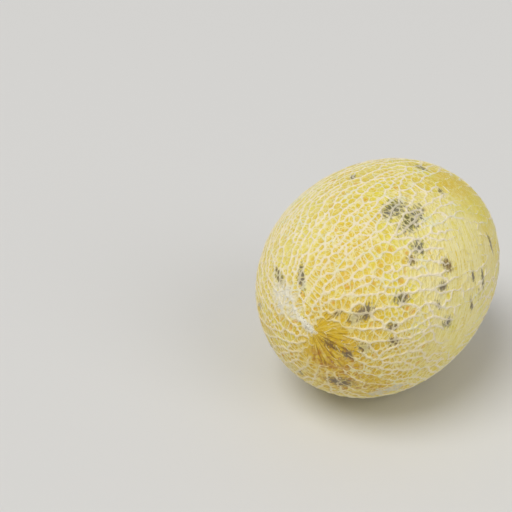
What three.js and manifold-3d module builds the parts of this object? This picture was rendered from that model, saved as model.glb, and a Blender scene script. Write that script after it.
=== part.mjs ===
// A netted yellow melon, picked and lying on its side: one solid fruit.
// Millimetres, +Z up. The long axis lies along Y with the blossom end towards -Y,
// and the origin is on the resting surface, under the middle of the fruit.
import * as THREE from "three";
import { mergeVertices } from "three/addons/utils/BufferGeometryUtils.js";
import Module from "manifold-3d";

// The fruit
const LENGTH = 190;
const WIDTH = 140;
const SHOULDER_FULLNESS = 0.7; // extra radius halfway between the middle and each end

// Three faint lobes, one over each seed chamber, so that the middle isn't quite round
const LOBES = 3;
const LOBE_HEIGHT = 0.9;
const LOBE_ANGLE = THREE.MathUtils.degToRad(43); // of the first lobe, from +X towards +Z

// The small flat spot that the fruit rests on
const REST_DEPTH = 1.2; // how much of the underside the flat takes away

// The dried blossom scar: a low crest that starts a little above the middle of the -Y end
const SCAR_START_X = 3.3;
const SCAR_START_Z = 8.8; // above the long axis
const SCAR_LENGTH = 10.5;
const SCAR_WIDTH = 3.2;
const SCAR_HEIGHT = 1.2;
const SCAR_ANGLE = THREE.MathUtils.degToRad(151); // way that the crest runs, from +X towards +Z

// The stem end: a shallow dimple that holds the round scar left by the stem
const DIMPLE_RADIUS = 15;
const DIMPLE_DEPTH = 1.8;
const STEM_SCAR_RADIUS = 5.5;
const STEM_SCAR_HEIGHT = 0.8;

// Mesh steps. The rings crowd towards both ends, where the small features are.
const STEPS_AROUND = 48;
const STEPS_ALONG = 40;
const RING_CROWDING = 0.7;

const RIND_COLOUR = 0xe6cf6e;

// A unit sphere with its poles on Y, its rings drawn towards the poles
function crowdedSphere() {
  const sphere = new THREE.SphereGeometry(1, STEPS_AROUND, STEPS_ALONG);
  const positions = sphere.getAttribute("position");
  const point = new THREE.Vector3();
  for (let i = 0; i < positions.count; i += 1) {
    point.fromBufferAttribute(positions, i);
    const turn = Math.atan2(point.z, point.x);
    const share = Math.acos(THREE.MathUtils.clamp(point.y, -1, 1)) / Math.PI;
    const crowded = share - (RING_CROWDING * Math.sin(2 * Math.PI * share)) / (2 * Math.PI);
    const polar = Math.PI * crowded;
    point.set(Math.sin(polar) * Math.cos(turn), Math.cos(polar), Math.sin(polar) * Math.sin(turn));
    positions.setXYZ(i, point.x, point.y, point.z);
  }
  return sphere;
}

// The smooth ovoid under the net, for a unit direction from its centre
function ovoidPoint(direction) {
  const girth = Math.hypot(direction.x, direction.z);
  const around = Math.atan2(direction.z, direction.x);
  const lobe = LOBE_HEIGHT * Math.cos(LOBES * (around - LOBE_ANGLE)) * girth ** 2;
  const shoulder = SHOULDER_FULLNESS * (2 * girth * direction.y) ** 2;
  return new THREE.Vector3(WIDTH / 2, LENGTH / 2, WIDTH / 2)
    .multiply(direction)
    .addScaledVector(direction, lobe + shoulder);
}

// How far the blossom scar stands out, at a point x, z of the -Y end
function blossomScarHeight(x, z) {
  const middleX = SCAR_START_X + (SCAR_LENGTH / 2) * Math.cos(SCAR_ANGLE);
  const middleZ = SCAR_START_Z + (SCAR_LENGTH / 2) * Math.sin(SCAR_ANGLE);
  const along = (x - middleX) * Math.cos(SCAR_ANGLE) + (z - middleZ) * Math.sin(SCAR_ANGLE);
  const across = (z - middleZ) * Math.cos(SCAR_ANGLE) - (x - middleX) * Math.sin(SCAR_ANGLE);
  const reach = (along / (SCAR_LENGTH / 2)) ** 2 + (across / (SCAR_WIDTH / 2)) ** 2;
  return SCAR_HEIGHT * Math.exp(-reach);
}

// How far the +Y end stands out at a distance from the axis: a dimple, with the stem scar in it
function stemEndHeight(radius) {
  const dimple = DIMPLE_DEPTH * Math.exp(-((radius / DIMPLE_RADIUS) ** 2));
  const scar = STEM_SCAR_HEIGHT * Math.exp(-((radius / STEM_SCAR_RADIUS) ** 4));
  return scar - dimple;
}

// The fruit before its resting spot is flattened
function fruitGeometry() {
  const geometry = crowdedSphere();
  const positions = geometry.getAttribute("position");
  const direction = new THREE.Vector3();
  for (let i = 0; i < positions.count; i += 1) {
    direction.fromBufferAttribute(positions, i).normalize();
    const point = ovoidPoint(direction);
    if (direction.y < 0) point.y -= blossomScarHeight(point.x, point.z);
    else point.y += stemEndHeight(Math.hypot(point.x, point.z));
    positions.setXYZ(i, point.x, point.y, point.z);
  }
  return geometry;
}

function solidFrom(wasm, geometry) {
  const bare = geometry.clone();
  bare.deleteAttribute("normal");
  bare.deleteAttribute("uv");
  const merged = mergeVertices(bare, 1e-4);
  const mesh = new wasm.Mesh({
    numProp: 3,
    vertProperties: new Float32Array(merged.getAttribute("position").array),
    triVerts: new Uint32Array(merged.index.array),
  });
  return new wasm.Manifold(mesh);
}

function geometryFrom(solid) {
  const mesh = solid.getMesh();
  const geometry = new THREE.BufferGeometry();
  geometry.setAttribute("position", new THREE.BufferAttribute(mesh.vertProperties, 3));
  geometry.setIndex(new THREE.BufferAttribute(mesh.triVerts, 1));
  geometry.computeVertexNormals();
  return geometry;
}

// A block whose top face is the plane that the fruit rests on
function blockBelow(height) {
  const block = new THREE.BoxGeometry(2 * WIDTH, 2 * LENGTH, WIDTH);
  block.translate(0, 0, height - WIDTH / 2);
  return block;
}

// Moves the origin to the middle of the underside
function standOnOrigin(geometry) {
  geometry.computeBoundingBox();
  const box = geometry.boundingBox;
  const middle = box.getCenter(new THREE.Vector3());
  geometry.translate(-middle.x, -middle.y, -box.min.z);
  return geometry;
}

function rindMaterial() {
  return new THREE.MeshStandardMaterial({ color: RIND_COLOUR, roughness: 0.5, metalness: 0 });
}

function makeMelon(wasm) {
  const fruit = fruitGeometry();
  fruit.computeBoundingBox();
  const restHeight = fruit.boundingBox.min.z + REST_DEPTH;
  const rested = solidFrom(wasm, fruit).subtract(solidFrom(wasm, blockBelow(restHeight)));
  const melon = new THREE.Mesh(standOnOrigin(geometryFrom(rested)), rindMaterial());
  melon.name = "melon";
  return melon;
}

const wasm = await Module();
wasm.setup();

const fruitGroup = new THREE.Group();
fruitGroup.add(makeMelon(wasm));

export default fruitGroup;
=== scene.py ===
import math

import bpy
import numpy as np
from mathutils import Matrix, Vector, kdtree
from mathutils.geometry import delaunay_2d_cdt


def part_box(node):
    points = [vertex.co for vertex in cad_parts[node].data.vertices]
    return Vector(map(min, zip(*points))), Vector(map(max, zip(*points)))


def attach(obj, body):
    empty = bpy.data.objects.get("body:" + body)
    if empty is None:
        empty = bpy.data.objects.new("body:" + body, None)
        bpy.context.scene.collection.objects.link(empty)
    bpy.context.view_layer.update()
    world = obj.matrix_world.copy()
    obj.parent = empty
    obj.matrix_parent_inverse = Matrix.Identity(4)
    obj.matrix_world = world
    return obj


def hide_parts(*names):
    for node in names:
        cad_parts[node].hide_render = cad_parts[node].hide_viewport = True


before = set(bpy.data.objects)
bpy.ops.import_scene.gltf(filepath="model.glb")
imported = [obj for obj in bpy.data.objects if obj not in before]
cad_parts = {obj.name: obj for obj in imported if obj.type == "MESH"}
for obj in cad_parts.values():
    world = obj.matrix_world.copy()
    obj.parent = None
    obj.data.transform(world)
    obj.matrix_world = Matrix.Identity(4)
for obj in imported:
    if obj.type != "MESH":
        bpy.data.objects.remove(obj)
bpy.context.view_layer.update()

# Surface work is in millimetres from the middle of the fruit, with +Z up, the blossom end at -Y
# and the stem end at +Y. The finished mesh is moved onto the frame and turned into metres.
MM = 0.001

# The smooth fruit, as the CAD solid has it
LENGTH = 190.0
WIDTH = 140.0
SHOULDER_FULLNESS = 0.7
LOBES = 3
LOBE_HEIGHT = 0.9
LOBE_ANGLE = math.radians(43)
SEMI_AXES = np.array([WIDTH / 2, LENGTH / 2, WIDTH / 2])

# The dried blossom scar on the -Y end
SCAR_START = np.array([3.3, 8.8])  # x and z of the end that the streaks spread from
SCAR_LENGTH = 10.5
SCAR_WIDTH = 3.2
SCAR_HEIGHT = 1.2
SCAR_ANGLE = math.radians(151)

# The dimple and the round scar at the stem end
DIMPLE_RADIUS = 15.0
DIMPLE_DEPTH = 1.8
STEM_SCAR_RADIUS = 5.5
STEM_SCAR_HEIGHT = 0.8

# The net: long main cells, each split into small cells by fine cords
MAIN_CELL_LENGTH = 24.0
MAIN_CELL_WIDTH = 7.6
SMALL_CELL_STEP = 3.3
LADDER_SHARE = 0.74  # of the main cells are ladders of rungs
MAIN_CORD_WIDTH = 1.25
FINE_CORD_WIDTH = 0.72
MAIN_CORD_HEIGHT = 0.5
FINE_CORD_HEIGHT = 0.28
WIDE_CORD = 1.4  # cords wider than this get a shoulder on each side in the mesh

FADED_WIDTH = 0.55  # share of its full width that a cord keeps where it fades out
FADED_STRENGTH = 0.04  # cords fainter than this get no mesh points
CORD_FLARE = 0.16  # how much wider a cord is at its ends
CORD_FLARE_LENGTH = 0.7
MAIN_CORD_HOLD = 0.28  # main cords reach this much further into the bare places

# Mesh spacing
CORD_STEP = 1.4
PROBE_STEP = 0.5
FILL_STEP = 1.9
END_SCAR_STEP = 0.75
END_SCAR_REACH = 9.0
NEAREST_CORDS = 6
OUTSIDE_NET = -3.0  # the net mark of a point far from every cord

# Fine lines in the bloom run around the fruit, and slant most at one turn
LINE_SLANT = 0.31
LINE_SLANT_TURN = math.radians(20)

PLAIN_TONE = 0.45  # of the rind where no cords part it into cells

SEED = 7


# ---------------------------------------------------------------- small maths

def normalised(vectors):
    return vectors / np.linalg.norm(vectors, axis=-1, keepdims=True)


def smooth(low, high, value):
    share = np.clip((value - low) / (high - low), 0.0, 1.0)
    return share * share * (3.0 - 2.0 * share)


def waves(points, wavelength, seed, count=14):
    """Smooth noise of about -1 to 1 that changes over a wavelength in millimetres."""
    rng = np.random.default_rng(seed)
    directions = normalised(rng.normal(size=(count, 3)))
    numbers = 2 * math.pi / (wavelength * rng.uniform(0.7, 1.5, count))
    phases = rng.uniform(0, 2 * math.pi, count)
    return np.sin(points @ (directions * numbers[:, None]).T + phases).sum(axis=1) / math.sqrt(2 * count)


def wave_vectors(points, wavelength, seed):
    return np.stack([waves(points, wavelength, seed + axis) for axis in range(3)], axis=1)


# ---------------------------------------------------------------- the smooth fruit

def scar_axes(points):
    """Distances along and across the blossom scar, from its middle."""
    run = np.array([math.cos(SCAR_ANGLE), math.sin(SCAR_ANGLE)])
    offset = points[:, [0, 2]] - (SCAR_START + run * SCAR_LENGTH / 2)
    return offset @ run, offset @ np.array([-run[1], run[0]])


def blossom_scar(points):
    """1 on the crest of the blossom scar, falling to 0 around it."""
    along, across = scar_axes(points)
    reach = (along / (SCAR_LENGTH / 2)) ** 2 + (across / (SCAR_WIDTH / 2)) ** 2
    return np.where(points[:, 1] < 0, np.exp(-reach), 0.0)


def stem_radius(points):
    return np.where(points[:, 1] > 0, np.hypot(points[:, 0], points[:, 2]), WIDTH)


def stem_scar(points):
    return np.exp(-((stem_radius(points) / STEM_SCAR_RADIUS) ** 4))


def ovoid(directions):
    """The fruit without its net, for unit directions from its middle."""
    x, y, z = directions.T
    girth = np.hypot(x, z)
    lobe = LOBE_HEIGHT * np.cos(LOBES * (np.arctan2(z, x) - LOBE_ANGLE)) * girth ** 2
    shoulder = SHOULDER_FULLNESS * (2 * girth * y) ** 2
    points = directions * SEMI_AXES + directions * (lobe + shoulder)[:, None]
    dimple = DIMPLE_DEPTH * np.exp(-((stem_radius(points) / DIMPLE_RADIUS) ** 2))
    points[:, 1] += STEM_SCAR_HEIGHT * stem_scar(points) - dimple
    points[:, 1] -= SCAR_HEIGHT * blossom_scar(points)
    return points


def direction_of(points):
    return normalised(points / SEMI_AXES)


def outward(points):
    """Unit normals of the ovoid."""
    return normalised(points / SEMI_AXES ** 2)


# ---------------------------------------------------------------- the fruit's own angles
# The rind's pattern spreads from the blossom scar, which lies a little off the -Y axis, to the
# stem. "reach" is the angle from the scar (0) to the stem (180 degrees), and "turn" is the angle
# around, from +X towards +Z.

SCAR_LEAN = np.array([SCAR_START[0], 0.0, SCAR_START[1]]) / (WIDTH / 2)


def to_pattern(directions):
    return normalised(directions - SCAR_LEAN * (1 - directions[:, 1:2]) / 2)


def from_pattern(pattern):
    directions = pattern
    for _ in range(8):
        lean = SCAR_LEAN * (1 - directions[:, 1:2]) / 2
        size = np.linalg.norm(directions - lean, axis=1, keepdims=True)
        directions = normalised(pattern * size + lean)
    return directions


def place(reach, turn):
    """The unit direction of a place on the rind, given in degrees."""
    reach, turn = math.radians(reach), math.radians(turn)
    side = math.sin(reach)
    pattern = np.array([[side * math.cos(turn), -math.cos(reach), side * math.sin(turn)]])
    return from_pattern(pattern)[0]


def meridian(points):
    """Unit vectors along the rind, away from the blossom scar."""
    pattern = to_pattern(direction_of(points))
    ahead = np.stack([-pattern[:, 0] * pattern[:, 1], 1 - pattern[:, 1] ** 2,
                      -pattern[:, 2] * pattern[:, 1]], axis=1)
    normal = outward(points)
    along = ahead * SEMI_AXES
    along -= normal * (along * normal).sum(axis=1, keepdims=True)
    return normalised(along + 1e-9)


def near(points, reach, turn, radius, soft=0.6):
    """1 within a radius in millimetres of a place on the rind, fading to 0 beyond it."""
    middle = ovoid(place(reach, turn)[None, :])[0]
    distance = np.linalg.norm(points - middle, axis=1) + 0.18 * radius * waves(points, 0.8 * radius, 41)
    return 1 - smooth(radius * (1 - soft), radius * (1 + soft), distance)


# ---------------------------------------------------------------- where the net thins out

def net_cover(points):
    """How fully the net covers the rind: 1 where it is dense, 0 where the rind is bare."""
    cover = 0.86 + 0.3 * waves(points, 45, 11)
    cover += 0.4 * near(points, 55, 100, 45)
    cover += 0.3 * near(points, 35, 60, 35)
    cover -= 0.7 * near(points, 82, 12, 32)
    cover -= 0.5 * near(points, 78, 42, 20)
    cover -= 0.7 * near(points, 106, 34, 26)
    cover -= 0.7 * near(points, 104, 60, 20)
    cover -= 0.45 * near(points, 64, -24, 20)
    cover -= 1.0 * near(points, 8, 25, 9, 0.6)
    cover -= 1.0 * near(points, 12, -40, 12, 0.7)
    cover -= 0.8 * near(points, 9, -88, 7)
    cover -= 0.55 * near(points, 34, -62, 22)
    cover -= 1.0 * near(points, 120, -100, 30)
    cover -= 0.7 * near(points, 140, 150, 24)
    cover -= 0.7 * near(points, 172, 0, 16)
    return np.clip(cover, 0.0, 1.2)


# ---------------------------------------------------------------- triangles over the whole fruit

FLOOR_WAY = np.array([0.0, 0.0, -1.0])


def sphere_triangles(directions):
    """The Delaunay triangles of directions all over a sphere. The first one has to be FLOOR_WAY:
    the others are laid out flat as seen from it, and it closes the gap left at the rim."""
    flat = directions[1:, :2] / (1.0 + directions[1:, 2:3])
    out = delaunay_2d_cdt([Vector(p) for p in flat.tolist()], [], [], 0, 1e-12, True)
    source = np.array([ids[0] for ids in out[3]]) + 1
    inner = source[np.array(out[2])]
    corners = directions[inner]
    facing = np.cross(corners[:, 1] - corners[:, 0], corners[:, 2] - corners[:, 0])
    inward = (facing * corners[:, 0]).sum(axis=1) < 0
    inner[inward] = inner[inward][:, ::-1]
    sides = np.concatenate([inner[:, [0, 1]], inner[:, [1, 2]], inner[:, [2, 0]]])
    present = set(map(tuple, sides.tolist()))
    rim = [(b, a) for a, b in present if (b, a) not in present]
    closing = np.array([(a, b, 0) for a, b in rim])
    return np.concatenate([inner, closing])


# ---------------------------------------------------------------- laying out the net

def random_directions(rng, count):
    return normalised(rng.normal(size=(count, 3)))


def cell_scale(points):
    """Cells are smaller where the net is dense."""
    scale = 1.0 + 0.22 * waves(points, 38, 23)
    scale *= 1 - 0.22 * near(points, 50, 118, 40)
    scale *= 1 + 0.15 * near(points, 45, 50, 24)
    scale *= 1.22 - 0.4 * near(points, 42, 50, 105, 0.35)
    return np.clip(scale, 0.55, 1.6)


def main_cells(rng):
    """Middles of the main cells, with the way each one runs and its size."""
    points = ovoid(random_directions(rng, 9000))
    normals = outward(points)
    run = meridian(points)
    across = np.cross(normals, run)
    swing = math.radians(-14) + math.radians(26) * waves(points, 55, 5)
    way = run * np.cos(swing)[:, None] + across * np.sin(swing)[:, None]
    side = np.cross(normals, way)
    scales = cell_scale(points) * rng.uniform(0.8, 1.25, len(points))
    kept = []
    for i in range(len(points)):
        if kept:
            gap = points[kept] - points[i]
            size = np.minimum(scales[kept], scales[i])
            far = ((gap @ way[i]) / (MAIN_CELL_LENGTH * size)) ** 2
            far += ((gap @ side[i]) / (MAIN_CELL_WIDTH * size)) ** 2
            far += ((gap @ normals[i]) / (MAIN_CELL_LENGTH * size)) ** 2
            if far.min() < 1.0:
                continue
        kept.append(i)
    return points[kept], way[kept], side[kept], normals[kept], scales[kept]


def small_cells(rng, main):
    """Middles of the small cells, and the main cell that each one belongs to. A main cell is
    a ladder of rungs, or a double row that makes rounder cells."""
    points, way, side, normals, scales = main
    middles, owners = [], []
    for i in range(len(points)):
        ladder = rng.random() < LADDER_SHARE
        step = SMALL_CELL_STEP * scales[i] * rng.uniform(0.8, 1.25) * (0.86 if ladder else 0.82)
        reach = int(MAIN_CELL_LENGTH * scales[i] / step)
        for k in range(-reach, reach + 1):
            sway = rng.normal(0, 0.1) if ladder else (0.23 if k % 2 else -0.23) + rng.normal(0, 0.06)
            shift = (k + rng.normal(0, 0.15)) * step
            spot = points[i] + way[i] * shift + side[i] * sway * MAIN_CELL_WIDTH * scales[i]
            gap = spot - points
            far = ((gap * way).sum(axis=1) / (MAIN_CELL_LENGTH * scales)) ** 2
            far += ((gap * side).sum(axis=1) / (MAIN_CELL_WIDTH * scales)) ** 2
            far += ((gap * normals).sum(axis=1) / MAIN_CELL_LENGTH) ** 2
            if far.argmin() != i:
                continue
            if middles and np.linalg.norm(np.array(middles) - spot, axis=1).min() < 0.62 * step:
                continue
            middles.append(spot)
            owners.append(i)
    return np.array(middles), np.array(owners)


def bend(directions):
    """The slow and quick wander of cords over the rind."""
    points = directions * SEMI_AXES
    drift = 1.3 * wave_vectors(points, 26, 61) + 0.42 * wave_vectors(points, 6.5, 71)
    return direction_of(points + drift)


def cord_graph(rng):
    """Cords as pairs of junctions: (junction directions, pairs, True where a cord is a main one),
    with the direction of every small cell."""
    middles, owners = small_cells(rng, main_cells(rng))
    sites = np.vstack([FLOOR_WAY, direction_of(middles)])
    owners = np.concatenate([[-1], owners])
    triangles = sphere_triangles(sites)
    corners = sites[triangles]
    junctions = normalised(np.cross(corners[:, 1] - corners[:, 0], corners[:, 2] - corners[:, 0]))
    beside = {}
    for index, (a, b, c) in enumerate(triangles.tolist()):
        for one, two in ((a, b), (b, c), (c, a)):
            beside.setdefault((min(one, two), max(one, two)), []).append(index)
    pairs, main = [], []
    for (one, two), sharing in beside.items():
        if len(sharing) == 2:
            pairs.append(sharing)
            main.append(owners[one] != owners[two])
    return junctions, np.array(pairs), np.array(main), sites


class Cords:
    """Points along every cord, with the cord's half width and height in millimetres, its
    strength from 0 to 1, and the way that it runs."""

    def __init__(self, step, graph, rng):
        junctions, pairs, main = graph
        directions, counts, half, high, hold = [], [], [], [], []
        for (a, b), is_main, bow, plump, keen in zip(
                pairs, main, rng.normal(0, 0.07, len(pairs)), rng.uniform(0.8, 1.25, len(pairs)),
                rng.uniform(-0.22, 0.16, len(pairs))):
            start, end = junctions[a], junctions[b]
            span = np.linalg.norm((end - start) * SEMI_AXES)
            if span > 3 * MAIN_CELL_LENGTH:
                continue
            count = max(2, int(math.ceil(span / step)) + 1)
            share = np.linspace(0, 1, count)[:, None]
            sideways = np.cross(start, end - start)
            line = start * (1 - share) + end * share + sideways * bow * np.sin(math.pi * share)
            directions.append(normalised(line))
            ends = np.minimum(share[:, 0], 1 - share[:, 0]) * span
            flare = 1 + CORD_FLARE * np.exp(-ends / CORD_FLARE_LENGTH)
            width = (MAIN_CORD_WIDTH if is_main else FINE_CORD_WIDTH) * plump
            half.append(0.5 * width * flare)
            high.append(np.full(count, (MAIN_CORD_HEIGHT if is_main else FINE_CORD_HEIGHT) * plump))
            hold.append(np.full(count, keen + (MAIN_CORD_HOLD if is_main else 0.0)))
            counts.append(count)
        counts = np.array(counts)
        self.points = ovoid(bend(np.concatenate(directions)))
        self.half = np.concatenate(half)
        self.high = np.concatenate(high)
        cover = net_cover(self.points)
        self.strength = smooth(0.15, 0.75, cover + np.concatenate(hold))
        self.tangents = self.directions_ahead(counts)

    def directions_ahead(self, counts):
        """The way that each cord runs at each of its points."""
        ahead = np.zeros_like(self.points)
        ahead[:-1] += np.diff(self.points, axis=0)
        ahead[1:] += np.diff(self.points, axis=0)
        starts = np.concatenate([[0], np.cumsum(counts)[:-1]])
        stops = np.cumsum(counts) - 1
        ahead[starts] = self.points[starts + 1] - self.points[starts]
        ahead[stops] = self.points[stops] - self.points[stops - 1]
        return normalised(ahead)


def build_net(rng):
    junctions, pairs, main, sites = cord_graph(rng)
    graph = (junctions, pairs, main)
    seed = int(rng.integers(1 << 30))
    coarse = Cords(CORD_STEP, graph, np.random.default_rng(seed))
    probes = Cords(PROBE_STEP, graph, np.random.default_rng(seed))
    return coarse, probes, sites


# ---------------------------------------------------------------- mesh points

class Sieve:
    """Takes points one by one and refuses those too close to one already taken."""

    def __init__(self, cell):
        self.cell = cell
        self.cells = {}
        self.points = []

    def offer(self, point, gap):
        x, y, z = point
        i, j, k = int(x // self.cell), int(y // self.cell), int(z // self.cell)
        for a in (i - 1, i, i + 1):
            for b in (j - 1, j, j + 1):
                for c in (k - 1, k, k + 1):
                    for px, py, pz in self.cells.get((a, b, c), ()):
                        if (px - x) ** 2 + (py - y) ** 2 + (pz - z) ** 2 < gap * gap:
                            return False
        self.cells.setdefault((i, j, k), []).append((x, y, z))
        self.points.append((x, y, z))
        return True


def even_directions(count):
    """Directions spread evenly over a sphere, on a golden-angle spiral."""
    index = np.arange(count) + 0.5
    level = 1 - 2 * index / count
    ring = np.sqrt(1 - level ** 2)
    turn = math.pi * (1 + math.sqrt(5)) * index
    return np.stack([ring * np.cos(turn), level, ring * np.sin(turn)], axis=1)


def mesh_points(coarse, sites, rng):
    """Points on the cords' middles, the cells' middles, and the cords' feet and shoulders, then
    points that fill what is left. Gaps are in millimetres."""
    sieve = Sieve(FILL_STEP)
    sieve.offer(tuple(ovoid(FLOOR_WAY[None, :])[0]), 0.1)
    for spot in ovoid(fine_spots()).tolist():
        sieve.offer(spot, 0.55)
    shown = np.flatnonzero(coarse.strength > FADED_STRENGTH)
    for i in shown:
        sieve.offer(coarse.points[i].tolist(), 0.42)
    for spot in ovoid(bend(sites[1:])).tolist():
        sieve.offer(spot, 0.6)
    side = np.cross(outward(coarse.points), coarse.tangents)
    width = coarse.half * (FADED_WIDTH + (1 - FADED_WIDTH) * coarse.strength)
    for i in shown:
        gap = 0.62 * width[i]
        for sign in (1, -1):
            foot = coarse.points[i] + sign * side[i] * width[i]
            sieve.offer(foot.tolist(), max(gap, 0.32))
    for i in shown:
        if coarse.half[i] * 2 > WIDE_CORD:
            for sign in (1, -1):
                shoulder = coarse.points[i] + sign * side[i] * width[i] * 0.5
                sieve.offer(shoulder.tolist(), 0.3)
    area = 4 * math.pi * (WIDTH / 2) * (LENGTH / 2) * 0.93
    fill = ovoid(even_directions(int(area / (0.5 * FILL_STEP ** 2))))
    fill += rng.normal(0, 0.15, fill.shape)
    for spot in fill[rng.permutation(len(fill))].tolist():
        sieve.offer(spot, 0.78 * FILL_STEP)
    return direction_of(np.array(sieve.points))


def fine_spots():
    """Directions of closer mesh points at the two end scars."""
    grid = np.arange(-END_SCAR_REACH, END_SCAR_REACH + 0.01, END_SCAR_STEP)
    x, z = (axis.ravel() for axis in np.meshgrid(grid, grid))
    run = np.array([math.cos(SCAR_ANGLE), math.sin(SCAR_ANGLE)])
    middle = SCAR_START + run * SCAR_LENGTH / 2
    blossom = direction_at_end(x + middle[0], z + middle[1], -1)
    stem = direction_at_end(x, z, 1)
    return np.vstack([blossom, stem])


def direction_at_end(x, z, end):
    radius = WIDTH / 2
    y = np.sqrt(1 - (x / radius) ** 2 - (z / radius) ** 2)
    return np.stack([x / radius, end * y, z / radius], axis=1)


# ---------------------------------------------------------------- relief and marks

def net_relief(points, probes):
    """For each point, the height of the net over the rind, how far inside a cord it lies (1 at
    a cord's middle, 0 at its foot and below 0 in a cell), and how wide the nearest cord is."""
    tree = kdtree.KDTree(len(probes.points))
    for i, spot in enumerate(probes.points.tolist()):
        tree.insert(spot, i)
    tree.balance()
    found = np.array([[index for _, index, _ in tree.find_n(spot, NEAREST_CORDS)]
                      for spot in points.tolist()])
    gap = points[:, None, :] - probes.points[found]
    along = (gap * probes.tangents[found]).sum(axis=2)
    along = np.clip(along, -PROBE_STEP / 2, PROBE_STEP / 2)
    away = np.linalg.norm(gap - probes.tangents[found] * along[:, :, None], axis=2)
    strength = probes.strength[found]
    half = probes.half[found] * (FADED_WIDTH + (1 - FADED_WIDTH) * strength)
    inside = 1 - away / half
    height = probes.high[found] * strength * np.clip(1 - (away / half) ** 2, 0, 1)
    depth = np.where(strength > 0.02, inside - 0.9 * (1 - strength) ** 2, OUTSIDE_NET)
    best = depth.argmax(axis=1)
    plump = half[np.arange(len(points)), best] / (MAIN_CORD_WIDTH / 2)
    return height.max(axis=1), np.clip(depth.max(axis=1), OUTSIDE_NET, 1.0), plump


# Dark patches: reach and turn in degrees, length along and width across in millimetres,
# tilt off the meridian in degrees, and how dark and how grey-green (1) or brown (0) they are.
PATCHES = [
    (67, 73, 18.0, 9.0, -4, 1.0, 1.0),
    (68, 62, 21.0, 10.0, 4, 1.0, 1.0),
    (60, 48, 9.0, 8.0, 0, 0.85, 1.0),
    (54, 45, 8.0, 6.0, 30, 0.7, 0.4),
    (42, 28, 7.5, 6.5, 0, 1.0, 0.9),
    (67, 31, 9.0, 9.0, 0, 0.7, 0.0),
    (61, 22, 6.0, 5.0, 0, 1.0, 0.6),
    (57, 14, 5.0, 7.0, 0, 0.6, 0.6),
    (61, 1, 7.0, 7.0, 0, 0.85, 0.8),
    (36, -4, 7.0, 5.0, 0, 0.95, 0.5),
    (35, 9, 8.0, 5.0, 0, 0.7, 0.6),
    (26, 30, 8.0, 6.0, 20, 1.15, 0.6),
    (21, 28, 9.0, 5.0, 10, 1.0, 0.5),
    (15, 47, 6.0, 4.0, 0, 0.7, 0.3),
    (93, 62, 6.0, 5.0, 0, 0.7, 0.7),
    (105, 81, 9.0, 6.0, 60, 0.9, 0.9),
    (24, -12, 9.0, 7.0, 0, 0.75, 0.4),
    (19, -29, 8.0, 6.0, 0, 0.8, 0.5),
    (10, -30, 10.0, 4.0, 0, 0.9, 0.1),
    (30, -67, 13.0, 8.0, 50, 1.0, 0.6),
    (31, 148, 15.0, 5.0, 10, 0.9, 0.6),
    (25, 120, 15.0, 4.5, 0, 0.9, 0.8),
    (79, 17, 2.6, 8.0, 0, 1.0, 0.8),
    (86, 12, 2.8, 12.0, 0, 1.0, 0.8),
    (82, 5, 2.4, 8.0, 0, 0.8, 0.6),
    (76, 4, 3.0, 10.0, 8, 0.9, 0.6),
    (101, 24, 3.2, 12.0, 0, 0.9, 0.7),
]
HIDDEN_PATCHES = 46


def all_patches():
    """The patches on the side that is seen most, then scattered ones on the rest."""
    rng = np.random.default_rng(SEED + 3)
    patches = list(PATCHES)
    while len(patches) < len(PATCHES) + HIDDEN_PATCHES:
        reach, turn = rng.uniform(22, 160), rng.uniform(95, 345)
        seen = reach < 75 and (turn < 165 or turn > 280)
        if seen or rng.random() > math.sin(math.radians(reach)):
            continue
        size = rng.uniform(0.6, 1.3)
        patches.append((reach, turn, 9.5 * size, 6.0 * size * rng.uniform(0.7, 1.2),
                        rng.normal(0, 15), rng.uniform(0.65, 1.0), rng.uniform(0.2, 1.0)))
    return patches


def patch_marks(points):
    """How deep in a dark patch each point is (1 in the middle, 0 at the edge, below 0 outside),
    and how grey the patch is."""
    depth = np.full(len(points), -2.0)
    grey = np.zeros(len(points))
    for reach, turn, long, wide, tilt, dark, tint in all_patches():
        middle = ovoid(place(reach, turn)[None, :])
        run, normal = meridian(middle)[0], outward(middle)[0]
        across = np.cross(normal, run)
        tilt = math.radians(tilt)
        way = run * math.cos(tilt) + across * math.sin(tilt)
        side = np.cross(normal, way)
        gap = points - middle[0]
        far = np.sqrt(((gap @ way) / (long / 2)) ** 2 + ((gap @ side) / (wide / 2)) ** 2
                      + ((gap @ normal) / long) ** 2)
        mark = dark - far
        grey = np.where(mark > depth, tint, grey)
        depth = np.maximum(depth, mark)
    return depth, grey


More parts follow.
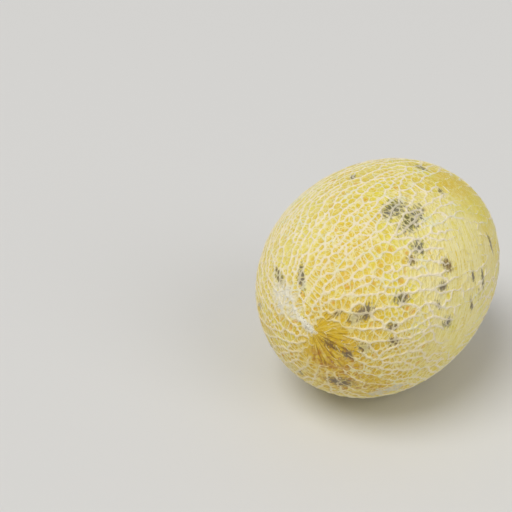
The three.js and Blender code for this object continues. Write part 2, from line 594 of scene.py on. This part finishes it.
def zone_marks(points):
    """Named masks for the broad changes of colour over the rind."""
    return {
        "wash": np.clip(near(points, 76, 34, 32) + 0.9 * near(points, 66, 0, 28)
                        + 0.9 * near(points, 92, 8, 28)
                        + 0.4 * near(points, 62, 150, 40) + 0.35 * near(points, 95, 120, 36)
                        + 0.8 * near(points, 130, 10, 30) + 0.5 * near(points, 140, -140, 34), 0, 1),
        # deep: deep yellow rind near the blossom scar and at a few other places. Its broad place low on
        # the left (reach 34, turn -145) is painted shade that darkens the lower left of the fruit.
        "deep": np.clip(0.8 * near(points, 9, 25, 11) + 0.7 * near(points, 12, -60, 15)
                        + 0.3 * near(points, 33, 62, 28) + 0.5 * near(points, 150, 60, 24)
                        + 0.4 * near(points, 34, -38, 34) + 0.4 * near(points, 34, -145, 46), 0, 1),
        "rays": np.clip(near(points, 9, -8, 9) + near(points, 13, -45, 10) + 0.5 * near(points, 10, 60, 8)
                        + 0.6 * near(points, 10, -85, 8)
                        + 0.7 * near(points, 170, 40, 12), 0, 1),
        "orange": np.clip(0.2 * near(points, 103, 62, 22) + 0.3 * near(points, 40, 74, 26)
                          + 0.6 * near(points, 120, -30, 26) + 0.5 * near(points, 110, -160, 30), 0, 1),
        "brown": np.clip(near(points, 17, -52, 13) + 0.8 * near(points, 33, -64, 18)
                         + 0.4 * near(points, 48, -34, 26)
                         + 0.3 * near(points, 38, -110, 26)
                         + 0.4 * near(points, 110, -70, 26) + 0.5 * near(points, 168, 90, 14), 0, 1),
        "pale_patch": np.clip(1.3 * near(points, 22, 155, 8) + 1.2 * near(points, 13, 152, 5), 0, 1),
        "crust": np.clip(0.9 * near(points, 49, -56, 8) + 0.8 * near(points, 53, -47, 6), 0, 1),
    }


# ---------------------------------------------------------------- the mesh

def centre_on_frame():
    """Where the middle of the ovoid is in the frame, in millimetres."""
    low, high = (np.array(corner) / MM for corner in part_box("melon"))
    shape = ovoid(even_directions(40000))
    middle = (low + high) / 2 - (shape.min(axis=0) + shape.max(axis=0)) / 2
    middle[2] = high[2] - shape[:, 2].max()
    return middle


def vertex_normals(points, triangles):
    corners = points[triangles]
    facing = np.cross(corners[:, 1] - corners[:, 0], corners[:, 2] - corners[:, 0])
    normals = np.zeros_like(points)
    for corner in range(3):
        np.add.at(normals, triangles[:, corner], facing)
    return normalised(normals)


def cell_tones(directions, sites):
    """A random tone for each small cell, and each point's tone."""
    tree = kdtree.KDTree(len(sites))
    for i, spot in enumerate(bend(sites).tolist()):
        tree.insert(spot, i)
    tree.balance()
    nearest = np.array([tree.find(spot)[1] for spot in directions.tolist()])
    tones = np.random.default_rng(SEED + 5).random(len(sites))[nearest]
    netted = smooth(0.3, 0.8, net_cover(ovoid(directions)))
    return PLAIN_TONE + (tones - PLAIN_TONE) * netted


def store(mesh, name, values):
    if values.ndim == 1:
        mesh.attributes.new(name, "FLOAT", "POINT").data.foreach_set("value", values)
    else:
        mesh.attributes.new(name, "FLOAT_VECTOR", "POINT").data.foreach_set("vector", values.ravel())


def lay_out_uv(mesh, directions, triangles):
    """Six charts, one for each side of a cube around the fruit, in three columns and two rows."""
    margin = 0.03
    middles = directions[triangles].mean(axis=1)
    axis = np.abs(middles).argmax(axis=1)
    sign = np.sign(middles[np.arange(len(middles)), axis])
    corners = directions[triangles]
    over = corners[np.arange(len(middles)), :, axis]
    first = np.where(axis == 0, 2, 0)
    second = np.where(axis == 1, 2, 1)
    rows = np.arange(len(middles))
    u = np.arctan2(corners[rows, :, first], np.abs(over)) / (math.pi / 2) + 0.5
    v = np.arctan2(corners[rows, :, second], np.abs(over)) / (math.pi / 2) + 0.5
    mirrored = (sign > 0) == (axis != 2)
    u = np.where(mirrored[:, None], u, 1 - u)
    u = margin + u * (1 - 2 * margin)
    v = margin + v * (1 - 2 * margin)
    u = (u + axis[:, None]) / 3
    v = (v + (sign > 0)[:, None]) / 2
    layer = mesh.uv_layers.new(name="OFBake")
    layer.data.foreach_set("uv", np.stack([u, v], axis=2).ravel())


def store_pattern(mesh, directions):
    """The fruit's own angles, for streaks that spread from the scar and lines around it."""
    pattern = to_pattern(directions)
    reach = np.arccos(np.clip(-pattern[:, 1], -1, 1))
    ring = normalised(pattern[:, [0, 2]] + 1e-9)
    turn = np.arctan2(ring[:, 1], ring[:, 0])
    slant = LINE_SLANT * np.sin(reach) * np.sin(turn - LINE_SLANT_TURN)
    store(mesh, "spread", np.stack([ring[:, 0], ring[:, 1], reach], axis=1))
    store(mesh, "rings", np.stack([ring[:, 0], ring[:, 1], reach - slant], axis=1))


def store_marks(mesh, rind, scar, heights):
    """The masks that the material reads, for points of the smooth rind and their heights over
    the floor."""
    ragged_height = heights + 1.2 * waves(rind, 12, 95)
    patch, grey = patch_marks(rind)
    store(mesh, "fruit", rind)
    store(mesh, "patch", patch)
    store(mesh, "grey", grey)
    store(mesh, "scar", scar)
    store(mesh, "floor_spot", 1 - smooth(0.6, 4.5, ragged_height))
    for name, mask in zone_marks(rind).items():
        store(mesh, name, mask)


def make_melon():
    rng = np.random.default_rng(SEED)
    coarse, probes, sites = build_net(rng)
    directions = mesh_points(coarse, sites, rng)
    triangles = sphere_triangles(directions)
    rind = ovoid(directions)
    height, depth, plump = net_relief(rind, probes)
    scar = np.clip(blossom_scar(rind) + stem_scar(rind), 0, 1)
    height *= 1 - scar
    rough = 0.45 * scar * waves(rind, 2.0, 91) + 0.12 * waves(rind, 9, 93)
    normals = vertex_normals(rind, triangles)
    points = rind + normals * (height + rough)[:, None] + centre_on_frame()
    points[:, 2] = np.maximum(points[:, 2], 0.0)

    mesh = bpy.data.meshes.new("netted_melon")
    mesh.from_pydata((points * MM).tolist(), [], triangles.tolist())
    mesh.update()
    mesh.polygons.foreach_set("use_smooth", np.ones(len(mesh.polygons), dtype=bool))
    store(mesh, "net", depth)
    store(mesh, "plump", plump)
    store(mesh, "tone", cell_tones(directions, sites))
    store_pattern(mesh, directions)
    store_marks(mesh, rind, scar, points[:, 2])
    lay_out_uv(mesh, directions, triangles)
    melon = bpy.data.objects.new("netted_melon", mesh)
    bpy.context.collection.objects.link(melon)
    return melon


# ---------------------------------------------------------------- the rind's material

def colour(red, green, blue):
    """A linear colour from one given as it looks on screen, 0 to 255."""
    shares = [value / 255 for value in (red, green, blue)]
    linear = [s / 12.92 if s <= 0.04045 else ((s + 0.055) / 1.055) ** 2.4 for s in shares]
    return (*linear, 1.0)


class Paint:
    """Short calls that build a material's node tree."""

    def __init__(self, name):
        self.material = bpy.data.materials.new(name)
        self.material.use_nodes = True
        self.nodes = self.material.node_tree.nodes
        self.links = self.material.node_tree.links
        self.shader = self.nodes["Principled BSDF"]

    def plug(self, socket, value):
        if isinstance(value, bpy.types.NodeSocket):
            self.links.new(value, socket)
        else:
            socket.default_value = value

    def attribute(self, name, output="Fac"):
        node = self.nodes.new("ShaderNodeAttribute")
        node.attribute_name = name
        return node.outputs[output]

    def maths(self, operation, one, two=0.0, clamp=False):
        node = self.nodes.new("ShaderNodeMath")
        node.operation = operation
        node.use_clamp = clamp
        self.plug(node.inputs[0], one)
        self.plug(node.inputs[1], two)
        return node.outputs[0]

    def step(self, value, low, high):
        """0 below low and 1 above high, with a smooth change between them."""
        node = self.nodes.new("ShaderNodeMapRange")
        node.interpolation_type = "SMOOTHSTEP"
        self.plug(node.inputs["Value"], value)
        node.inputs["From Min"].default_value = low
        node.inputs["From Max"].default_value = high
        return node.outputs["Result"]

    def noise(self, vector, scale, detail=2.0, rough=0.5):
        """Noise of about 0 to 1, with a scale in repeats per unit of the vector."""
        node = self.nodes.new("ShaderNodeTexNoise")
        self.plug(node.inputs["Vector"], vector)
        node.inputs["Scale"].default_value = scale
        node.inputs["Detail"].default_value = detail
        node.inputs["Roughness"].default_value = rough
        return node.outputs["Fac"]

    def web(self, vector, scale, low, high):
        """A net of thin lines: 1 nearer to a line than low and 0 beyond high, in cell widths.
        The scale is in cells per unit of the vector."""
        node = self.nodes.new("ShaderNodeTexVoronoi")
        node.feature = "DISTANCE_TO_EDGE"
        self.plug(node.inputs["Vector"], vector)
        node.inputs["Scale"].default_value = scale
        return self.step(node.outputs["Distance"], high, low)

    def stretch(self, vector, x, y, z):
        node = self.nodes.new("ShaderNodeVectorMath")
        node.operation = "MULTIPLY"
        self.plug(node.inputs[0], vector)
        node.inputs[1].default_value = (x, y, z)
        return node.outputs[0]

    def mix(self, factor, one, two):
        node = self.nodes.new("ShaderNodeMix")
        node.data_type = "RGBA"
        self.plug(node.inputs["Factor"], factor)
        self.plug(node.inputs[6], one)
        self.plug(node.inputs[7], two)
        return node.outputs[2]

    def bump(self, height, distance, under=None):
        node = self.nodes.new("ShaderNodeBump")
        node.inputs["Strength"].default_value = 1.0
        node.inputs["Distance"].default_value = distance
        self.plug(node.inputs["Height"], height)
        if under is not None:
            self.plug(node.inputs["Normal"], under)
        return node.outputs["Normal"]


PALE_RIND = colour(232, 216, 66)
YELLOW_RIND = colour(226, 200, 30)
LIME_RIND = colour(218, 210, 46)
# Deep yellow, also used as painted shade on the lower left of the fruit
DEEP_AND_SHADED_RIND = colour(216, 176, 14)
ORANGE_RIND = colour(222, 150, 46)
CREAM_WASH = colour(246, 234, 168)
RIM_CREAM = colour(242, 230, 146)
HAIR_CREAM = colour(246, 236, 176)
MAIN_CORK = colour(248, 236, 204)
FINE_CORK = colour(246, 232, 154)
COOL_CORK = colour(236, 236, 200)
# Darker yellow for cords, also used as painted shade on the lower left
TINTED_AND_SHADED_CORK = colour(232, 206, 112)
GREEN_PATCH = colour(88, 86, 44)
GREY_PATCH = colour(104, 102, 98)
BROWN_PATCH = colour(112, 80, 30)
STREAK_BROWN = colour(124, 84, 12)
MOTTLE_BROWN = colour(168, 98, 16)
SCAR_GREY = colour(214, 208, 186)
SCAR_CREAM = colour(240, 234, 210)
SCAR_SHADE = colour(138, 120, 80)
DUST_WHITE = colour(236, 230, 208)


def ground_colour(paint, fruit, net):
    """The rind between the cords: pale yellow to deep yellow and orange, cell by cell."""
    tone = paint.attribute("tone")
    broad = paint.noise(fruit, 0.03, 3.0)
    inner = paint.step(net, -0.1, -1.4)
    base = paint.mix(paint.step(broad, 0.36, 0.6), PALE_RIND, YELLOW_RIND)
    lime = paint.maths("MULTIPLY", paint.step(paint.noise(fruit, 0.045, 2.0), 0.5, 0.7), 0.6)
    base = paint.mix(lime, base, LIME_RIND)
    # Deep yellow comes from the deep mask, the cell tones and broad noise. Where the deep mask lies low on
    # the left, it is painted shade.
    deep = paint.maths("ADD", paint.attribute("deep"), paint.maths("MULTIPLY", tone, 0.45))
    deep = paint.maths("ADD", deep, paint.maths("MULTIPLY", broad, 0.5))
    base = paint.mix(paint.maths("MULTIPLY", paint.step(deep, 0.45, 1.1), 0.9), base, DEEP_AND_SHADED_RIND)
    orange = paint.maths("ADD", paint.attribute("orange"), paint.step(tone, 0.82, 0.98), clamp=True)
    orange = paint.maths("MULTIPLY", orange, paint.maths("MULTIPLY", inner, 0.7))
    base = paint.mix(orange, base, ORANGE_RIND)
    rim = paint.maths("MULTIPLY", paint.step(net, -0.7, 0.05), 0.14)
    return paint.mix(rim, base, RIM_CREAM)


def wash_over(paint, base, fruit, rings):
    """A cream bloom with fine lines, where the net hasn't broken through."""
    lines = paint.noise(paint.stretch(rings, 6.0, 6.0, 80.0), 1.0, 3.0, 0.6)
    cloud = paint.noise(fruit, 0.07, 3.0)
    amount = paint.maths("ADD", paint.maths("MULTIPLY", paint.step(lines, 0.4, 0.57), 0.75), 0.22)
    amount = paint.maths("MULTIPLY", amount, paint.attribute("wash"))
    amount = paint.maths("MULTIPLY", amount, paint.step(cloud, 0.15, 0.5))
    return paint.mix(amount, base, CREAM_WASH)


def hairlines_over(paint, base, fruit, rings):
    """The finest cracks of the rind: a faint web and short lines inside the cells."""
    broken = paint.step(paint.noise(fruit, 0.28, 3.0, 0.6), 0.36, 0.56)
    web = paint.maths("MULTIPLY", paint.web(fruit, 0.34, 0.05, 0.16), broken)
    in_wash = paint.maths("MULTIPLY", paint.web(fruit, 0.21, 0.02, 0.09), paint.attribute("wash"))
    web = paint.maths("MAXIMUM", web, in_wash)
    hairs = paint.noise(paint.stretch(rings, 9.0, 9.0, 95.0), 1.0, 2.0, 0.5)
    hairs = paint.maths("MULTIPLY", paint.step(hairs, 0.55, 0.66), 0.7)
    amount = paint.maths("MULTIPLY", paint.maths("MAXIMUM", web, hairs), 0.48)
    bare = paint.maths("SUBTRACT", 1.0, paint.attribute("rays"))
    return paint.mix(paint.maths("MULTIPLY", amount, bare), base, HAIR_CREAM)


def patches_over(paint, base, fruit, rings, on_cord):
    """Dark sunken patches with ragged, hatched edges. They tint the cords that cross them."""
    hatch = paint.maths("SUBTRACT", paint.noise(paint.stretch(rings, 16.0, 16.0, 70.0), 1.0, 2.0), 0.5)
    ragged = paint.maths("SUBTRACT", paint.noise(fruit, 0.5, 3.0, 0.7), 0.5)
    edge = paint.maths("ADD", paint.attribute("patch"), paint.maths("MULTIPLY", ragged, 1.6))
    edge = paint.maths("ADD", edge, paint.maths("MULTIPLY", hatch, 2.2))
    grey = paint.mix(paint.step(paint.noise(fruit, 0.12, 2.0), 0.3, 0.5), GREEN_PATCH, GREY_PATCH)
    dark = paint.mix(paint.attribute("grey"), BROWN_PATCH, grey)
    amount = paint.maths("MULTIPLY", paint.step(edge, -0.6, 0.5), 0.9)
    clear = paint.maths("SUBTRACT", 1.0, paint.maths("MULTIPLY", on_cord, 0.62))
    return paint.mix(paint.maths("MULTIPLY", amount, clear), base, dark)


def streaks_over(paint, base, fruit, spread):
    """Thin brown streaks that spread from the blossom scar, and brown mottling below it."""
    rays = paint.noise(paint.stretch(spread, 13.0, 13.0, 5.0), 1.0, 3.0, 0.6)
    around_scar = paint.step(paint.attribute("rays"), 0.1, 0.9)
    amount = paint.maths("MULTIPLY", paint.step(rays, 0.5, 0.64), around_scar)
    base = paint.mix(paint.maths("MULTIPLY", amount, 0.75), base, STREAK_BROWN)
    # Pale rays lie between the brown ones
    pale = paint.maths("MULTIPLY", paint.step(rays, 0.46, 0.36), paint.attribute("rays"))
    base = paint.mix(paint.maths("MULTIPLY", pale, 0.5), base, RIM_CREAM)
    mottle = paint.noise(fruit, 0.3, 4.0, 0.7)
    spots = paint.maths("MULTIPLY", paint.attribute("brown"), paint.step(mottle, 0.42, 0.66))
    return paint.mix(paint.maths("MULTIPLY", spots, 0.75), base, MOTTLE_BROWN)


def crust_over(paint, base, fruit):
    """Chalky places: the dust beside the blossom scar, the resting spot and the end scars."""
    cloud = paint.noise(fruit, 0.35, 3.0, 0.65)
    dust = paint.maths("MULTIPLY", paint.attribute("pale_patch"), paint.step(cloud, 0.3, 0.58), clamp=True)
    base = paint.mix(dust, base, DUST_WHITE)
    crust = paint.maths("MAXIMUM", paint.attribute("crust"), paint.attribute("floor_spot"))
    ragged = paint.maths("MULTIPLY", paint.maths("SUBTRACT", cloud, 0.5), 2.4)
    crust = paint.step(paint.maths("ADD", crust, ragged), 0.45, 0.95)
    base = paint.mix(paint.maths("MULTIPLY", crust, 0.85), base, SCAR_GREY)
    flecks = paint.step(paint.noise(fruit, 0.8, 3.0, 0.7), 0.54, 0.66)
    scar = paint.mix(paint.maths("MULTIPLY", flecks, 0.8), SCAR_CREAM, SCAR_SHADE)
    torn = paint.maths("ADD", paint.attribute("scar"), paint.noise(fruit, 0.6, 3.0, 0.7))
    return paint.mix(paint.step(torn, 0.6, 0.8), base, scar)


def cork_amount(paint, fruit, net):
    ragged = paint.maths("SUBTRACT", paint.noise(fruit, 1.1, 2.0, 0.6), 0.5)
    level = paint.maths("ADD", net, paint.maths("MULTIPLY", ragged, 0.55))
    return paint.step(level, 0.04, 0.3)


def cork_colour(paint, fruit):
    """Main cords are whiter than fine ones. Some stretches are cooler, and those under the deep mask are
    tinted darker
    yellow: over deep yellow rind, and as painted shade on the lower left."""
    cork = paint.mix(paint.step(paint.attribute("plump"), 0.5, 0.95), FINE_CORK, MAIN_CORK)
    cool = paint.maths("MULTIPLY", paint.step(paint.noise(fruit, 0.1, 3.0), 0.52, 0.7), 0.7)
    cork = paint.mix(cool, cork, COOL_CORK)
    return paint.mix(paint.maths("MULTIPLY", paint.attribute("deep"), 0.6), cork, TINTED_AND_SHADED_CORK)


def rind_material():
    paint = Paint("netted_rind")
    fruit = paint.attribute("fruit", "Vector")
    spread = paint.attribute("spread", "Vector")
    rings = paint.attribute("rings", "Vector")
    net = paint.attribute("net")
    base = ground_colour(paint, fruit, net)
    base = wash_over(paint, base, fruit, rings)
    base = streaks_over(paint, base, fruit, spread)
    base = hairlines_over(paint, base, fruit, rings)
    on_cord = cork_amount(paint, fruit, net)
    base = paint.mix(on_cord, base, cork_colour(paint, fruit))
    base = patches_over(paint, base, fruit, rings, on_cord)
    base = crust_over(paint, base, fruit)
    paint.plug(paint.shader.inputs["Base Color"], base)
    gloss = paint.maths("MULTIPLY", paint.noise(fruit, 0.5, 3.0), 0.16)
    rough = paint.maths("ADD", paint.maths("MULTIPLY", on_cord, 0.26), gloss)
    paint.plug(paint.shader.inputs["Roughness"], paint.maths("ADD", rough, 0.38))
    grain = paint.noise(fruit, 2.4, 3.0, 0.6)
    lines = paint.noise(paint.stretch(rings, 9.0, 9.0, 80.0), 1.0, 3.0, 0.6)
    normal = paint.bump(lines, 0.00018)
    normal = paint.bump(paint.web(fruit, 0.34, 0.0, 0.16), 0.00012, normal)
    normal = paint.bump(paint.maths("MULTIPLY", grain, paint.maths("ADD", on_cord, 0.4)), 0.00022, normal)
    paint.plug(paint.shader.inputs["Normal"], normal)
    return paint.material


# ---------------------------------------------------------------- studio

CAMERA_DISTANCE = 0.5505  # from the middle of the fruit
CAMERA_AZIMUTH = math.radians(23.06)  # where the camera stands
CAMERA_ELEVATION = math.radians(28.7)
VIEW_AZIMUTH = math.radians(32.5)  # where it looks, left of the fruit
VIEW_PITCH = math.radians(27.9)
LENS = 60.0

FLOOR_REACH = 8.0
FLOOR_COLOUR = (0.72, 0.715, 0.70, 1.0)
WORLD_COLOUR = (1.0, 0.985, 0.96, 1.0)
WORLD_STRENGTH = 0.38
BACKDROP_STRENGTH = 0.66


def away_towards(azimuth, elevation):
    """A unit vector towards a place at an azimuth from -Y and an elevation."""
    level = math.cos(elevation)
    return Vector((math.sin(azimuth) * level, -math.cos(azimuth) * level, math.sin(elevation)))


def make_camera(middle):
    camera = bpy.data.objects.new("camera", bpy.data.cameras.new("camera"))
    camera.data.lens = LENS
    camera.data.clip_start = 0.01
    camera.location = middle + CAMERA_DISTANCE * away_towards(CAMERA_AZIMUTH, CAMERA_ELEVATION)
    looking = -away_towards(VIEW_AZIMUTH, VIEW_PITCH)
    camera.rotation_euler = looking.to_track_quat("-Z", "Y").to_euler()
    bpy.context.collection.objects.link(camera)
    bpy.context.scene.camera = camera


def make_soft_sun(name, azimuth, elevation, strength, spread):
    """Even soft light from one side, as from a large lamp far away. Angles in degrees."""
    light = bpy.data.lights.new(name, "SUN")
    light.energy = strength
    light.angle = math.radians(spread)
    lamp = bpy.data.objects.new(name, light)
    way = away_towards(math.radians(azimuth), math.radians(elevation))
    lamp.rotation_euler = (-way).to_track_quat("-Z", "Y").to_euler()
    bpy.context.collection.objects.link(lamp)


def make_floor():
    mesh = bpy.data.meshes.new("studio_floor")
    corners = [(x * FLOOR_REACH, y * FLOOR_REACH, 0) for x, y in ((-1, -1), (1, -1), (1, 1), (-1, 1))]
    mesh.from_pydata(corners, [], [(0, 1, 2, 3)])
    paint = Paint("studio_floor")
    paint.shader.inputs["Base Color"].default_value = FLOOR_COLOUR
    paint.shader.inputs["Roughness"].default_value = 0.7
    mesh.materials.append(paint.material)
    floor = bpy.data.objects.new("studio_floor", mesh)
    bpy.context.collection.objects.link(floor)
    return floor


def make_world():
    """Even light from all round. What the camera sees of it is as bright as the far floor."""
    world = bpy.data.worlds.new("studio")
    world.use_nodes = True
    nodes = world.node_tree.nodes
    background = nodes["Background"]
    background.inputs["Color"].default_value = WORLD_COLOUR
    path = nodes.new("ShaderNodeLightPath")
    strength = nodes.new("ShaderNodeMapRange")
    strength.inputs["To Min"].default_value = WORLD_STRENGTH
    strength.inputs["To Max"].default_value = BACKDROP_STRENGTH
    world.node_tree.links.new(path.outputs["Is Camera Ray"], strength.inputs["Value"])
    world.node_tree.links.new(strength.outputs["Result"], background.inputs["Strength"])
    bpy.context.scene.world = world


middle = Vector((centre_on_frame() * MM).tolist())
make_camera(middle)
make_world()
make_soft_sun("key_light", -22, 60, 1.66, 36)
make_soft_sun("fill_light", 78, 34, 0.55, 40)
bpy.context.scene.view_settings.view_transform = "Standard"

floor = make_floor()

melon = make_melon()
melon.data.materials.append(rind_material())
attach(melon, "root")
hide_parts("melon")
